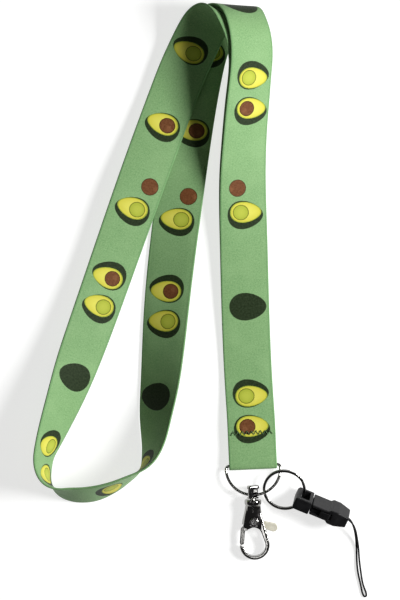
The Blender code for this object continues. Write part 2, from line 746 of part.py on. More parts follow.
def make_socket(parent, material):
    """The cord's half: a hollow case with a slot in each side for the arms, and finger pads."""
    start = HEAD_END + FIT_GAP
    end = start + SOCKET_LENGTH
    step = 1.0 * MM
    sections = [
        widened(start, SOCKET_THICK, BUCKLE_WIDTH),
        widened(PAD_START - step, SOCKET_THICK, BUCKLE_WIDTH),
        widened(PAD_START, PAD_THICK, BUCKLE_WIDTH),
        widened(PAD_START + 3 * MM, PAD_THICK, BUCKLE_WIDTH),
        widened(end, PAD_END_THICK, PAD_END_WIDTH),
    ]
    socket = add_object("buckle_socket", lofted("buckle_socket", sections), parent, material)
    bevel(socket, 0.35 * MM)
    cavity_thick = SOCKET_THICK - 2 * SOCKET_WALL
    cavity = lofted(
        "cavity",
        [
            widened(start - 1 * MM, cavity_thick, BUCKLE_WIDTH - 2 * SOCKET_WALL),
            widened(PAD_START, cavity_thick, BUCKLE_WIDTH - 2 * SOCKET_WALL),
            widened(CAVITY_END, cavity_thick, PAD_END_WIDTH - 3 * SOCKET_WALL),
        ],
    )
    combine(socket, cavity, "DIFFERENCE", parent)
    slot_half = ARM_WIDTH / 2 + FIT_GAP
    slot_end = start + ARM_LENGTH + 2 * FIT_GAP
    reach = BUCKLE_WIDTH
    slot_low = (start - 1 * MM, -slot_half, BUCKLE_RAISE - reach)
    slot = box("side_slots", slot_low, (slot_end, slot_half, BUCKLE_RAISE + reach))
    combine(socket, slot, "DIFFERENCE", parent)
    hole_half = (CORD_SPACING + CORD_D) / 2 + FIT_GAP
    across = CORD_D / 2 + FIT_GAP
    hole = box(
        "cord_hole",
        (CAVITY_END - 1 * MM, -across, BUCKLE_RAISE - hole_half),
        (end + 1 * MM, across, BUCKLE_RAISE + hole_half),
    )
    combine(socket, hole, "DIFFERENCE", parent)
    return end


def cord_points(buckle, exit_x):
    """Both strands in one line, from the knot to the far end of the loop and back to the knot."""

    def strand(side):
        inside = Vector((CAVITY_END + FIT_GAP, 0, BUCKLE_RAISE + side * CORD_SPACING / 2))
        mouth = Vector((exit_x, 0, BUCKLE_RAISE + side * CORD_SPACING / 2))
        return [buckle @ inside, buckle @ ((inside + mouth) / 2), buckle @ mouth]

    mouth = buckle @ Vector((exit_x, 0, BUCKLE_RAISE))
    moved = (mouth.to_2d() - CORD_MOUTH).to_3d()
    upper, lower = [], []
    for x, y, height, aside, above in CORD_ROUTE:
        middle = Vector((x, y, max(height, CORD_D / MM * 0.55 + above / 2)))
        apart = Vector((aside, 0, above))
        upper.append((middle + apart / 2) * MM + moved)
        lower.append((middle - apart / 2) * MM + moved)
    tip = Vector((*CORD_END, CORD_D / MM * 0.55)) * MM + moved
    ahead = (tip - (upper[-1] + lower[-1]) / 2).to_2d().normalized().to_3d()
    aside = Vector((-ahead.y, ahead.x, 0))
    middle = tip - ahead * CORD_FOLD_R
    fold = []
    for degrees in (0, 45, 90, 135, 180):
        turn = math.radians(degrees)
        fold.append(middle + (aside * math.cos(turn) + ahead * math.sin(turn)) * CORD_FOLD_R)
    return strand(1) + upper + fold + list(reversed(lower)) + list(reversed(strand(-1)))


def make_cord(parent, exit_x, material):
    """The thin cord loop, with the knot that holds both its ends inside the socket."""
    bpy.context.view_layer.update()
    buckle = parent.matrix_world
    rows = smooth_rows([tuple(point) for point in cord_points(buckle, exit_x)], 170)
    route = [buckle.inverted() @ Vector(row) for row in rows]
    add_object("phone_cord", wire_curve("phone_cord", route, CORD_D), parent, material)
    bm = bmesh.new()
    bmesh.ops.create_icosphere(bm, subdivisions=2, radius=KNOT_R)
    knot = add_object("cord_knot", finish_mesh(bm, "cord_knot", 60), parent, material)
    knot.location = (CAVITY_END - KNOT_R, 0, BUCKLE_RAISE)


def centre_on_origin(root):
    """Moves the object so that the origin is on the table under its middle."""
    bpy.context.view_layer.update()
    graph = bpy.context.evaluated_depsgraph_get()
    corners = []
    for obj in bpy.context.scene.objects:
        if obj.type == "EMPTY" or obj.hide_render or obj.name in ("phone_cord", "cord_knot"):
            continue
        shape = obj.evaluated_get(graph)
        mesh = shape.to_mesh()
        corners += [shape.matrix_world @ vertex.co for vertex in mesh.vertices]
        shape.to_mesh_clear()
    low = [min(c[i] for c in corners) for i in range(3)]
    high = [max(c[i] for c in corners) for i in range(3)]
    root.location = (-(low[0] + high[0]) / 2, -(low[1] + high[1]) / 2, -low[2])
    bpy.context.view_layer.update()


def build():
    clear_scene()
    webbing = make_material("webbing", (0.29, 0.49, 0.25), 0.72)
    thread = make_material("thread", (0.24, 0.42, 0.20), 0.8)
    chrome = make_material("chrome", (0.80, 0.80, 0.80), 0.12, 1.0)
    steel = make_material("steel", (0.62, 0.62, 0.63), 0.25, 1.0)
    plastic = make_material("plastic", (0.012, 0.012, 0.013), 0.38)
    cord = make_material("cord", (0.015, 0.015, 0.016), 0.85)

    lanyard = add_empty("lanyard")
    make_strap(lanyard, webbing)
    turned_in_plan = Matrix.Rotation(RING_TURN, 4, "Z")
    bar_rest = add_empty("bar_frame", lanyard, (BAR.x, BAR.y, BAR_HEIGHT), turned_in_plan)
    seam = add_empty("seam_frame", lanyard, (BAR.x, BAR.y, 0), turned_in_plan)
    make_seam(seam, thread)

    ring_pivot = add_empty("ring_pivot", bar_rest, rotation=Matrix.Rotation(-RING_TILT, 4, "X"))
    ring_foot = make_d_ring(ring_pivot, chrome)

    hook_lean = Matrix.Rotation(-RING_TURN, 4, "Z") @ Matrix.Rotation(RING_TILT - HOOK_TILT, 4, "X")
    eye_pivot = add_empty("eye_pivot", ring_pivot, (HOOK_ASIDE, ring_foot, 0), hook_lean)
    make_eye(eye_pivot, chrome)
    swivel = add_empty("swivel_pivot", eye_pivot)
    make_hook_body(swivel, chrome)
    gate_pivot = add_empty("gate_pivot", swivel, PIVOT.to_3d())
    make_gate(gate_pivot, chrome)
    make_rivet(gate_pivot, steel)
    make_gate_spring(swivel, steel)

    rise_x, rise_y = KEY_RING_SLOPE
    normal = Vector((-rise_x, -rise_y, 1)).normalized()
    tip = Vector((0, 0, 1)).rotation_difference(normal).to_matrix().to_4x4()
    out = ring_path()[1] + KEY_RING_OUT
    across, along = out * math.cos(KEY_RING_AT), out * math.sin(KEY_RING_AT) - RING_CORNER_R
    key_place = Vector((across, along, KEY_RING_HEIGHT - BAR_HEIGHT))
    key_frame = add_empty("key_ring_frame", bar_rest, key_place, tip)
    make_key_ring(key_frame, steel)

    middle = KEY_RING_R - KEY_RING_BAND / 2
    held = Vector((middle * math.cos(BUCKLE_TURN), middle * math.sin(BUCKLE_TURN), 0))
    bpy.context.view_layer.update()
    held = bar_rest.matrix_world.inverted() @ key_frame.matrix_world @ held
    turn = Matrix.Rotation(BUCKLE_TURN, 4, "Z") @ Matrix.Rotation(BUCKLE_LEAN, 4, "X")
    buckle = add_empty("buckle_pivot", bar_rest, held, turn)
    make_head(buckle, plastic)
    make_arm("release_arm_upper", 1, buckle, plastic)
    make_arm("release_arm_lower", -1, buckle, plastic)
    exit_x = make_socket(buckle, plastic)
    make_cord(buckle, exit_x, cord)
    centre_on_origin(lanyard)


build()
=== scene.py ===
# %% [markdown]
# # A printed lanyard, dressed for its picture
#
# A neck lanyard is a flat woven ribbon with metal and plastic fittings sewn into one end. The
# fittings come from the CAD model and keep their places. This script gives every visible piece the
# surface that the real one has, and swaps the plain CAD ribbon for woven, printed webbing.

# %% Load the model
import json
import math

import bmesh
import bpy
import numpy as np
from mathutils import Matrix, Vector


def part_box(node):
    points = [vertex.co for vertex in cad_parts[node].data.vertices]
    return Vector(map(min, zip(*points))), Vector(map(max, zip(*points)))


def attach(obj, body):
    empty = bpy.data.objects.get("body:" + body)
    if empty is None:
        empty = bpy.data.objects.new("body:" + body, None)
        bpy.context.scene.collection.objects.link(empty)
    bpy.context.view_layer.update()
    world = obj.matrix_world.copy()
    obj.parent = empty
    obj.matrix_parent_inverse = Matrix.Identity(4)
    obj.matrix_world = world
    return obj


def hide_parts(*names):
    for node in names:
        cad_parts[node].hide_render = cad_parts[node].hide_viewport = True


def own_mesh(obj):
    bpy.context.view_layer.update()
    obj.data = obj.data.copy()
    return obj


MM = 0.001
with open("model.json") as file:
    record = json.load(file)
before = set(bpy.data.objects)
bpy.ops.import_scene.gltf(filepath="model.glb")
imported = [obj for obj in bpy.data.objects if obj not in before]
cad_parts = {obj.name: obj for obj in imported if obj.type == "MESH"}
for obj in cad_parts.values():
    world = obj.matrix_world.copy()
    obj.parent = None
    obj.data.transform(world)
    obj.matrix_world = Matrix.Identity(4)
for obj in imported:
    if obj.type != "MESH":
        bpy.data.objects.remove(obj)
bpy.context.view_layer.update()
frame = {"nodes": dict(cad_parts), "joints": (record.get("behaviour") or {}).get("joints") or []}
joints = {joint["name"]: joint for joint in frame["joints"]}

# %% [markdown]
# ## The camera
#
# The lanyard lies on a table and the camera looks straight down at it from 85 cm, so that the parts
# that rise from the table look a little larger and further out than those that touch it. The
# routes below are written in the lanyard's own frame, which lies a few millimetres off the shared
# one, and the camera hangs over the lanyard's own origin.

# %% Hang the camera
LANYARD_ORIGIN = Vector((2.908, -6.866, 0.089)) * MM
CAMERA_HEIGHT = 850 * MM
VIEW_HEIGHT = 252 * MM

camera_data = bpy.data.cameras.new("camera")
camera_data.sensor_fit = "VERTICAL"
camera_data.sensor_height = 24
camera_data.lens = camera_data.sensor_height * CAMERA_HEIGHT / VIEW_HEIGHT
camera = bpy.data.objects.new("camera", camera_data)
camera.location = (LANYARD_ORIGIN.x, LANYARD_ORIGIN.y, CAMERA_HEIGHT)
bpy.context.scene.collection.objects.link(camera)
bpy.context.scene.camera = camera
print("camera lens:", round(camera_data.lens, 2), "mm")

# %% [markdown]
# ## Smooth lines through a few points
#
# Both the cord and the webbing follow a line that a hand would draw through a few places. A natural
# cubic spline is the mathematical version of a thin springy batten, so it bends as these do. Each
# row may hold more than a position: the webbing's rows also hold which way it turns and leans.


# %% Spline helper
def smooth_rows(rows, samples):
    """Rows of numbers read from a natural cubic through the given rows."""
    rows = np.array(rows, float)
    steps = np.linalg.norm(np.diff(rows[:, :3], axis=0), axis=1)
    at = np.concatenate([[0.0], np.cumsum(steps)])
    count = len(at)
    system = np.eye(count)
    right = np.zeros_like(rows)
    for i in range(1, count - 1):
        before, after = steps[i - 1], steps[i]
        system[i, i - 1 : i + 2] = before, 2 * (before + after), after
        right[i] = 6 * ((rows[i + 1] - rows[i]) / after - (rows[i] - rows[i - 1]) / before)
    bends = np.linalg.solve(system, right)
    here = np.linspace(0, at[-1], samples)
    i = np.clip(np.searchsorted(at, here, side="right") - 1, 0, count - 2)
    step = steps[i][:, None]
    low = (at[i + 1] - here)[:, None] / step
    high = 1 - low
    curve = (low**3 - low) * bends[i] + (high**3 - high) * bends[i + 1]
    return low * rows[i] + high * rows[i + 1] + step**2 / 6 * curve


def distances(points):
    """How far along the line each point is."""
    steps = np.linalg.norm(np.diff(points, axis=0), axis=1)
    return np.concatenate([[0.0], np.cumsum(steps)])


# %% [markdown]
# ## The phone cord
#
# A thin braided cord leaves the buckle, runs to its far end, folds there and comes back, and a knot
# inside the buckle holds both ends. It is one length, so it is one tube. The tube is built by hand,
# and not as a bevelled curve, because its texture coordinates then run in millimetres: along the
# cord and round it, which is what the braid needs.

# %% Cord: its sizes and route
CORD_D = 0.8
CORD_SPACING = 1.1
CAVITY_END = 16.6
SOCKET_EXIT = 20.4
BUCKLE_RAISE = 2.3
# x, y, height, and how far the upper strand lies beside and over the lower one
CORD_ROUTE = (
    (64.3, -94.8, 4.6, 0.2, 1.15),
    (65.4, -99.0, 2.4, 0.4, 1.1),
    (66.0, -103.5, 1.0, 0.7, 1.0),
    (66.3, -109.0, 0.9, 1.0, 0.7),
    (67.0, -115.0, 0.8, 1.15, 0.4),
    (68.2, -120.5, 0.6, 1.15, 0.2),
)
CORD_END = (69.4, -124.4)
CORD_FOLD_R = 0.62

buckle_x = Vector(joints["plug_pull"]["axis"]).normalized()
buckle_y = Vector(joints["buckle_swing"]["axis"]).normalized()
buckle_z = buckle_x.cross(buckle_y)
buckle_at = Vector(joints["buckle_swing"]["pos_m"])


def in_buckle(x, y, z):
    """A place in the buckle's own frame, in millimetres, as a point in metres."""
    return buckle_at + (buckle_x * x + buckle_y * y + buckle_z * z) * MM


def cord_strand(side):
    height = BUCKLE_RAISE + side * CORD_SPACING / 2
    inside, mouth = CAVITY_END + 0.3, SOCKET_EXIT
    return [in_buckle(x, 0, height) for x in (inside, (inside + mouth) / 2, mouth)]


upper, lower = [], []
for x, y, height, aside, above in CORD_ROUTE:
    middle = Vector((x, y, max(height, CORD_D * 0.55 + above / 2)))
    apart = Vector((aside, 0, above))
    upper.append((middle + apart / 2) * MM + LANYARD_ORIGIN)
    lower.append((middle - apart / 2) * MM + LANYARD_ORIGIN)
tip = Vector((*CORD_END, CORD_D * 0.55)) * MM + LANYARD_ORIGIN
ahead = (tip - (upper[-1] + lower[-1]) / 2).to_2d().normalized().to_3d()
aside = Vector((-ahead.y, ahead.x, 0))
fold = []
for degrees in (0, 45, 90, 135, 180):
    turn = math.radians(degrees)
    spoke = aside * math.cos(turn) + ahead * (math.sin(turn) - 1)
    fold.append(tip + spoke * CORD_FOLD_R * MM)
cord_points = cord_strand(1) + upper + fold + lower[::-1] + cord_strand(-1)[::-1]
cord_line = smooth_rows(cord_points, 420)


# %% Cord: the tube
def new_piece(name, bm, smooth_deg=40):
    """Turns a finished bmesh into an object in the scene."""
    mesh = bpy.data.meshes.new(name)
    bm.to_mesh(mesh)
    bm.free()
    mesh.shade_smooth()
    mesh.set_sharp_from_angle(angle=math.radians(smooth_deg))
    piece = bpy.data.objects.new(name, mesh)
    bpy.context.scene.collection.objects.link(piece)
    return piece


def tube(name, line, radius, sides=14):
    """A round tube along the line, with UVs in millimetres: round it and along it."""
    bm = bmesh.new()
    layer = bm.loops.layers.uv.new("cloth")
    along = distances(line) / MM
    tangents = np.gradient(line, axis=0)
    across = Vector(tangents[0]).orthogonal().normalized()
    hoops = []
    for point, tangent in zip(line, tangents):
        tangent = Vector(tangent).normalized()
        across = (across - tangent * across.dot(tangent)).normalized()
        up = tangent.cross(across)
        turns = [2 * math.pi * i / sides for i in range(sides)]
        spokes = [across * math.cos(turn) + up * math.sin(turn) for turn in turns]
        hoops.append([bm.verts.new(Vector(point) + spoke * radius) for spoke in spokes])
    girth = 2 * math.pi * radius / MM
    for i in range(len(hoops) - 1):
        for j in range(sides):
            k = (j + 1) % sides
            face = bm.faces.new((hoops[i][j], hoops[i][k], hoops[i + 1][k], hoops[i + 1][j]))
            places = ((j, i), (j + 1, i), (j + 1, i + 1), (j, i + 1))
            for loop, (step, row) in zip(face.loops, places):
                loop[layer].uv = (girth * step / sides, along[row])
    bm.faces.new(hoops[0][::-1])
    bm.faces.new(hoops[-1])
    return new_piece(name, bm)


phone_cord = tube("phone_cord_braid", cord_line, CORD_D / 2 * MM)
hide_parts("phone_cord")
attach(phone_cord, "socket")
print("cord tube:", len(phone_cord.data.vertices), "points")

# %% [markdown]
# ## The webbing's path
#
# One ribbon, 20 mm wide, makes the whole neck loop. It starts as a short tail behind the D-ring,
# goes round the ring's bar, up the front, over at the far end, round the loop and back down behind
# the front to the seam. Each row below says where its middle is, which way its right edge points
# and how far that edge stands up, because a ribbon that can't stretch turns a corner on the flat
# only by standing on its edge.

# %% Webbing: its sizes and route
STRAP_WIDTH = 20.0
STRAP_THICK = 0.9
LAYER = STRAP_THICK + 0.3
TAIL_LENGTH = 17.0
RING_TURN = math.radians(2.5)
BAR = Vector((22.2, -69.1))
TAIL_HEIGHT = 0.36 + 0.2 + STRAP_THICK / 2
WRAP_R = 1.3 / 2 + 0.3 + STRAP_THICK / 2
BAR_HEIGHT = TAIL_HEIGHT + WRAP_R
# Two layers on each other: x, y, height between them, heading, lean.
FRONT = (
    (20.7, -39.9, 1.70, 2.0, 0),
    (18.9, 0.0, 1.90, 1.5, -3),
    (18.2, 26.5, 3.10, 0.5, -8),
    (17.8, 41.7, 4.70, -0.5, -14),
    (17.8, 54.2, 6.80, -2.0, -20),
    (18.1, 62.0, 8.50, -3.0, -24),
    (18.9, 74.5, 11.30, -4.0, -28),
    (19.7, 83.6, 13.90, -5.0, -30),
    (20.5, 92.5, 16.50, -5.0, -32),
)
TURN_OUTER = (
    (21.3, 99.5, 18.9, -5.0, -32),
    (21.0, 106.4, 20.5, -4.0, -32),
    (20.0, 112.0, 20.6, -3.0, -31),
    (18.6, 116.6, 19.1, -2.0, -30),
    (16.6, 120.3, 16.2, 0.0, -28),
    (14.0, 121.6, 12.4, 0.0, -26),
    (11.0, 120.2, 8.6, -2.0, -20),
    (7.0, 115.6, 4.7, -6.0, -13),
    (2.9, 107.8, 1.9, -9.0, -5),
)
# Standing on the lower edge: x, y, layers under it, heading, lean.
RIGHT_LEG = (
    (-0.6, 94.9, 0.12, -9.5, 0),
    (-4.3, 73.9, 0.12, -9.5, 2),
    (-8.3, 45.5, 0.12, -8.5, 6),
    (-11.3, 22.2, 0.12, -7.5, 12),
    (-14.0, -3.0, 0.12, -6.0, 20),
    (-15.7, -23.8, 0.12, -5.5, 30),
    (-17.0, -36.7, 0.12, -5.0, 38),
    (-18.5, -49.0, 0.12, -4.0, 49),
    (-19.3, -57.8, 0.12, -7.0, 60),
)
BEND = (
    (-20.4, -62.9, 0.12, -18.0, 69),
    (-22.5, -67.5, 0.12, -34.0, 80),
    (-25.6, -71.3, 0.12, -50.0, 93),
    (-30.1, -74.3, 0.12, -59.0, 100),
    (-34.7, -76.9, 0.12, -64.0, 105),
    (-39.5, -79.0, 0.12, -70.0, 109),
    (-44.6, -80.5, 0.12, -79.0, 112),
    (-49.9, -81.0, 0.12, -90.0, 112),
    (-55.2, -80.4, 0.12, -103.0, 109),
    (-60.1, -78.5, 0.12, -122.0, 99),
    (-63.6, -74.9, 0.12, -152.0, 85),
    (-65.0, -70.1, 0.12, -176.0, 75),
)
LEFT_LEG = (
    (-64.8, -64.8, 0.12, -190.0, 69),
    (-63.3, -59.8, 0.12, -197.0, 63),
    (-61.3, -54.3, 0.12, -200.0, 57),
    (-56.4, -41.2, 0.12, -200.0, 44),
    (-51.3, -26.8, 0.12, -200.0, 31),
    (-46.7, -13.9, 0.12, -199.5, 25),
    (-34.5, 20.9, 0.35, -199.5, 17),
    (-28.2, 38.8, 1.4, -199.5, 13),
    (-20.8, 59.7, 1.5, -200.0, 9),
    (-11.2, 85.7, 1.5, -202.0, 5),
    (-6.9, 96.6, 1.8, -203.0, 5),
)
TURN_INNER = (
    (-3.4, 104.2, 4.3, -204.0, 7),
    (-0.1, 110.6, 6.9, -203.0, 12),
    (3.6, 115.8, 10.0, -200.0, 17),
    (8.1, 118.0, 13.4, -196.0, 22),
    (12.3, 116.9, 16.4, -191.0, 27),
    (15.9, 113.4, 18.4, -187.0, 30),
    (18.7, 108.2, 19.1, -186.0, 31),
    (20.2, 101.4, 17.9, -185.0, 32),
)
print("route rows:", len(FRONT + TURN_OUTER + RIGHT_LEG + BEND + LEFT_LEG + TURN_INNER))


# %% Webbing: the rows of the whole length
def bar_point(along, height):
    """A row over the middle of the webbing, this far from the ring's bar."""
    x = BAR.x - math.sin(RING_TURN) * along
    y = BAR.y + math.cos(RING_TURN) * along
    return (x, y, height, math.degrees(RING_TURN), 0.0)


def standing(rows):
    """Rows whose height comes from the lean, with the lower edge over the table."""
    done = []
    for x, y, layers, heading, lean in rows:
        rise = STRAP_WIDTH / 2 * abs(math.sin(math.radians(lean)))
        half = STRAP_THICK / 2 * abs(math.cos(math.radians(lean)))
        done.append((x, y, layers * LAYER + rise + half, heading, lean))
    return done


def one_layer(rows, side):
    """The upper (side 1) or lower (side -1) of two layers that lie on each other."""
    done = []
    for x, y, z, heading, lean in rows:
        turn, tip = math.radians(heading), math.radians(lean)
        aside = -side * LAYER / 2 * math.sin(tip)
        up = side * LAYER / 2 * math.cos(tip)
        place = (x + aside * math.cos(turn), y + aside * math.sin(turn), z + up)
        done.append((*place, heading, lean))
    return done


sewn_height = TAIL_HEIGHT + 1.5 * LAYER
sewn = [bar_point(at, sewn_height + lift) for at, lift in ((5, 0.15), (9, 0), (17, -0.02))]
front = sewn + list(FRONT)
tail = [bar_point(at, TAIL_HEIGHT) for at in (TAIL_LENGTH, TAIL_LENGTH / 2, 2.0)]
wrap = []
for degrees in (-90, -135, -180, -225, -270):
    turn = math.radians(degrees)
    wrap.append(bar_point(WRAP_R * math.cos(turn), BAR_HEIGHT + WRAP_R * math.sin(turn)))
back = [(x, y, z, way - 180, -lean) for x, y, z, way, lean in reversed(one_layer(front, -1))]
legs = standing(RIGHT_LEG) + standing(BEND) + standing(LEFT_LEG)
webbing_rows = tail + wrap + one_layer(front, 1) + list(TURN_OUTER) + legs + list(TURN_INNER) + back
fine_rows = smooth_rows(webbing_rows, 6000)
fine_along = distances(fine_rows[:, :3])

# %% [markdown]
# ## The printed fruit
#
# The webbing is dyed green and printed with cut fruit. The print is part of the cloth, so it is
# drawn by the material, but the material has to know where each fruit is. The length is split into
# cells with one fruit each, and every face gets a second set of UVs, counted in millimetres from
# the middle of its own fruit. The material then draws each kind of fruit only once.
#
# A row of the table says where a fruit lies along and across the webbing, what it shows, which edge
# its narrow end points to and on which side its skin shows.

# %% Print: where each fruit lies
HOLLOW, STONED, STONE, WHOLE = 1, 2, 3, 4
FRUIT = (
    (8.0, 0.0, WHOLE, 1, 1),
    (36.6, 0.2, STONED, 1, -1),
    (51.5, 0.6, HOLLOW, 1, 1),
    (87.9, 1.0, WHOLE, 1, -1),
    (126.3, 0.8, HOLLOW, 1, -1),
    (137.6, -2.5, STONE, 1, 1),
    (169.9, 1.4, STONED, 1, -1),
    (184.9, 1.0, HOLLOW, 1, 1),
    (217.0, 0.8, WHOLE, -1, -1),
    (245.6, 1.5, HOLLOW, -1, 1),
    (280.0, 1.4, STONED, -1, 1),
    (306.8, 3.8, STONE, -1, 1),
    (317.9, 0.2, HOLLOW, -1, 1),
    (346.2, -0.6, STONED, -1, -1),
    (361.0, -0.5, HOLLOW, -1, 1),
    (391.6, -1.0, WHOLE, -1, 1),
    (419.7, -0.2, HOLLOW, -1, -1),
    (438.6, -1.0, HOLLOW, -1, 1),
    (468.0, -0.5, HOLLOW, 1, -1),
    (483.0, -0.5, HOLLOW, 1, 1),
    (512.5, -0.6, WHOLE, 1, -1),
    (542.9, -0.4, HOLLOW, 1, -1),
    (557.4, 0.0, STONED, 1, 1),
    (586.0, -0.2, HOLLOW, 1, -1),
    (597.8, -4.0, STONE, 1, 1),
    (623.4, -0.2, STONED, 1, -1),
    (657.7, 0.8, HOLLOW, 1, 1),
    (700.0, 0.0, WHOLE, 1, 1),
    (733.0, 0.0, HOLLOW, 1, -1),
    (747.0, 0.0, STONED, 1, 1),
    (778.0, 0.0, HOLLOW, 1, 1),
    (790.0, 3.0, STONE, 1, 1),
    (828.0, 0.0, WHOLE, 1, 1),
    (856.0, 0.0, STONED, 1, 1),
)
centres = np.array([row[0] for row in FRUIT])
reach = np.array([4.4 if row[2] == STONE else 6.6 for row in FRUIT])
borders = centres[:-1] + np.diff(centres) * reach[:-1] / (reach[:-1] + reach[1:])
print("printed fruit:", len(FRUIT), "closest two:", round(np.diff(centres).min(), 1), "mm apart")

# %% [markdown]
# ## The webbing as a mesh
#
# The ribbon is a closed strip. Its profile is thicker in the middle than at the woven edges, which
# are rounded, so the edges catch the light as a thin line. More rows go where the ribbon bends.


# %% Webbing: the mesh
def webbing_sections(count):
    """Where the rows of the mesh go: the rows' numbers in the fine path."""
    tangents = np.gradient(fine_rows[:, :3], axis=0)
    tangents /= np.linalg.norm(tangents, axis=1)[:, None]
    turning = np.linalg.norm(np.diff(tangents, axis=0), axis=1)
    weight = np.concatenate([[0.0], np.cumsum(turning * 14 + np.diff(fine_along))])
    keep = np.searchsorted(weight, np.linspace(0, weight[-1], count))
    return np.unique(np.clip(keep, 0, len(fine_rows) - 1)), tangents


# across, and half the thickness there
PROFILE = (
    (-10.0, 0.17), (-9.9, 0.31), (-9.7, 0.40), (-9.3, 0.43), (-8.9, 0.40), (-8.4, 0.45),
    (-5.6, 0.45), (-2.8, 0.45), (0.0, 0.45), (2.8, 0.45), (5.6, 0.45),
    (8.4, 0.45), (8.9, 0.40), (9.3, 0.43), (9.7, 0.40), (9.9, 0.31), (10.0, 0.17),
)  # fmt: skip


def webbing_mesh(name, count=640):
    bm = bmesh.new()
    cloth = bm.loops.layers.uv.new("cloth")
    fruit = bm.loops.layers.uv.new("fruit")
    kind = bm.loops.layers.uv.new("kind")
    keep, tangents = webbing_sections(count)
    faces_up, faces_down = [], []
    for i in keep:
        heading, lean = np.radians(fine_rows[i, 3:])
        flat = math.cos(lean)
        side = Vector((math.cos(heading) * flat, math.sin(heading) * flat, math.sin(lean)))
        tangent = Vector(tangents[i])
        side = (side - tangent * side.dot(tangent)).normalized()
        normal = side.cross(tangent)
        middle = Vector(fine_rows[i, :3])
        for rows, way in ((faces_up, 1), (faces_down, -1)):
            places = [middle + side * across + normal * way * half for across, half in PROFILE]
            rows.append([bm.verts.new(place * MM + LANYARD_ORIGIN) for place in places])

    def panel(corners, across, row, printed=True):
        """One face, with its place on the cloth and its distance from its own fruit."""
        face = bm.faces.new(corners)
        here = fine_along[keep[row]], fine_along[keep[row + 1]]
        centre, aside, what, narrow, skin = FRUIT[int(np.searchsorted(borders, sum(here) / 2))]
        places = [(u, here[end]) for u, end in zip(across, (0, 0, 1, 1))]
        for loop, (u, v) in zip(face.loops, places):
            loop[cloth].uv = (u, v)
            loop[fruit].uv = (narrow * (u - aside), skin * (v - centre)) if printed else (40, 40)
            loop[kind].uv = (what, 0)

    last = len(PROFILE) - 1
    for i in range(len(keep) - 1):
        for j in range(last):
            u, w = PROFILE[j][0], PROFILE[j + 1][0]
            up, nxt = faces_up[i], faces_up[i + 1]
            panel((up[j], up[j + 1], nxt[j + 1], nxt[j]), (u, w, w, u), i)
            down, nxt = faces_down[i], faces_down[i + 1]
            panel((down[j + 1], down[j], nxt[j], nxt[j + 1]), (w, u, u, w), i)
        for j, u in ((0, -10.4), (last, 10.4)):
            ends = (faces_down[i][j], faces_up[i][j], faces_up[i + 1][j], faces_down[i + 1][j])
            panel(ends, (u, u, u, u), i, printed=False)
    for row, i in ((0, 0), (-1, len(keep) - 2)):
        for j in range(last):
            up, down = faces_up[row], faces_down[row]
            u, w = PROFILE[j][0], PROFILE[j + 1][0]
            panel((up[j], up[j + 1], down[j + 1], down[j]), (u, w, w, u), i, printed=False)
    bmesh.ops.recalc_face_normals(bm, faces=bm.faces)
    return new_piece(name, bm, smooth_deg=50)


webbing = webbing_mesh("webbing")
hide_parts("neck_strap")
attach(webbing, "strap")
print("webbing mesh:", len(webbing.data.polygons), "faces")

# %% [markdown]
# ## Writing shaders as sums
#
# A shader's arithmetic is easier to read as a sum than as a drawing of wires. `Wire` stands for one
# output of a node. Adding, multiplying or comparing wires adds the Math nodes that do it. `Finish`
# is one material: it makes any other node from its type, its settings and its socket values.


# %% Shader helpers
class Wire:
    """One output socket, which can be used in a sum."""

    def __init__(self, finish, socket):
        self.finish = finish
        self.socket = socket

    def math(self, operation, other=0.0, swapped=False, clamp=False):
        pair = (other, self) if swapped else (self, other)
        settings = {"operation": operation, "use_clamp": clamp}
        return self.finish.node("ShaderNodeMath", settings, {0: pair[0], 1: pair[1]})

    def __add__(self, other):
        return self.math("ADD", other)

    def __sub__(self, other):
        return self.math("SUBTRACT", other)

    def __mul__(self, other):
        return self.math("MULTIPLY", other)

    def __truediv__(self, other):
        return self.math("DIVIDE", other)

    def __pow__(self, other):
        return self.math("POWER", other)

    def __rsub__(self, other):
        return self.math("SUBTRACT", other, swapped=True)

    def __rtruediv__(self, other):
        return self.math("DIVIDE", other, swapped=True)

    def __gt__(self, other):
        return self.math("GREATER_THAN", other)

    def __lt__(self, other):
        return self.math("LESS_THAN", other)

    __radd__ = __add__
    __rmul__ = __mul__

    def abs(self):
        return self.math("ABSOLUTE")

    def sine(self):
        return self.math("SINE")

    def clamped(self):
        return self.math("ADD", 0.0, clamp=True)

    def most(self, other):
        return self.math("MAXIMUM", other)


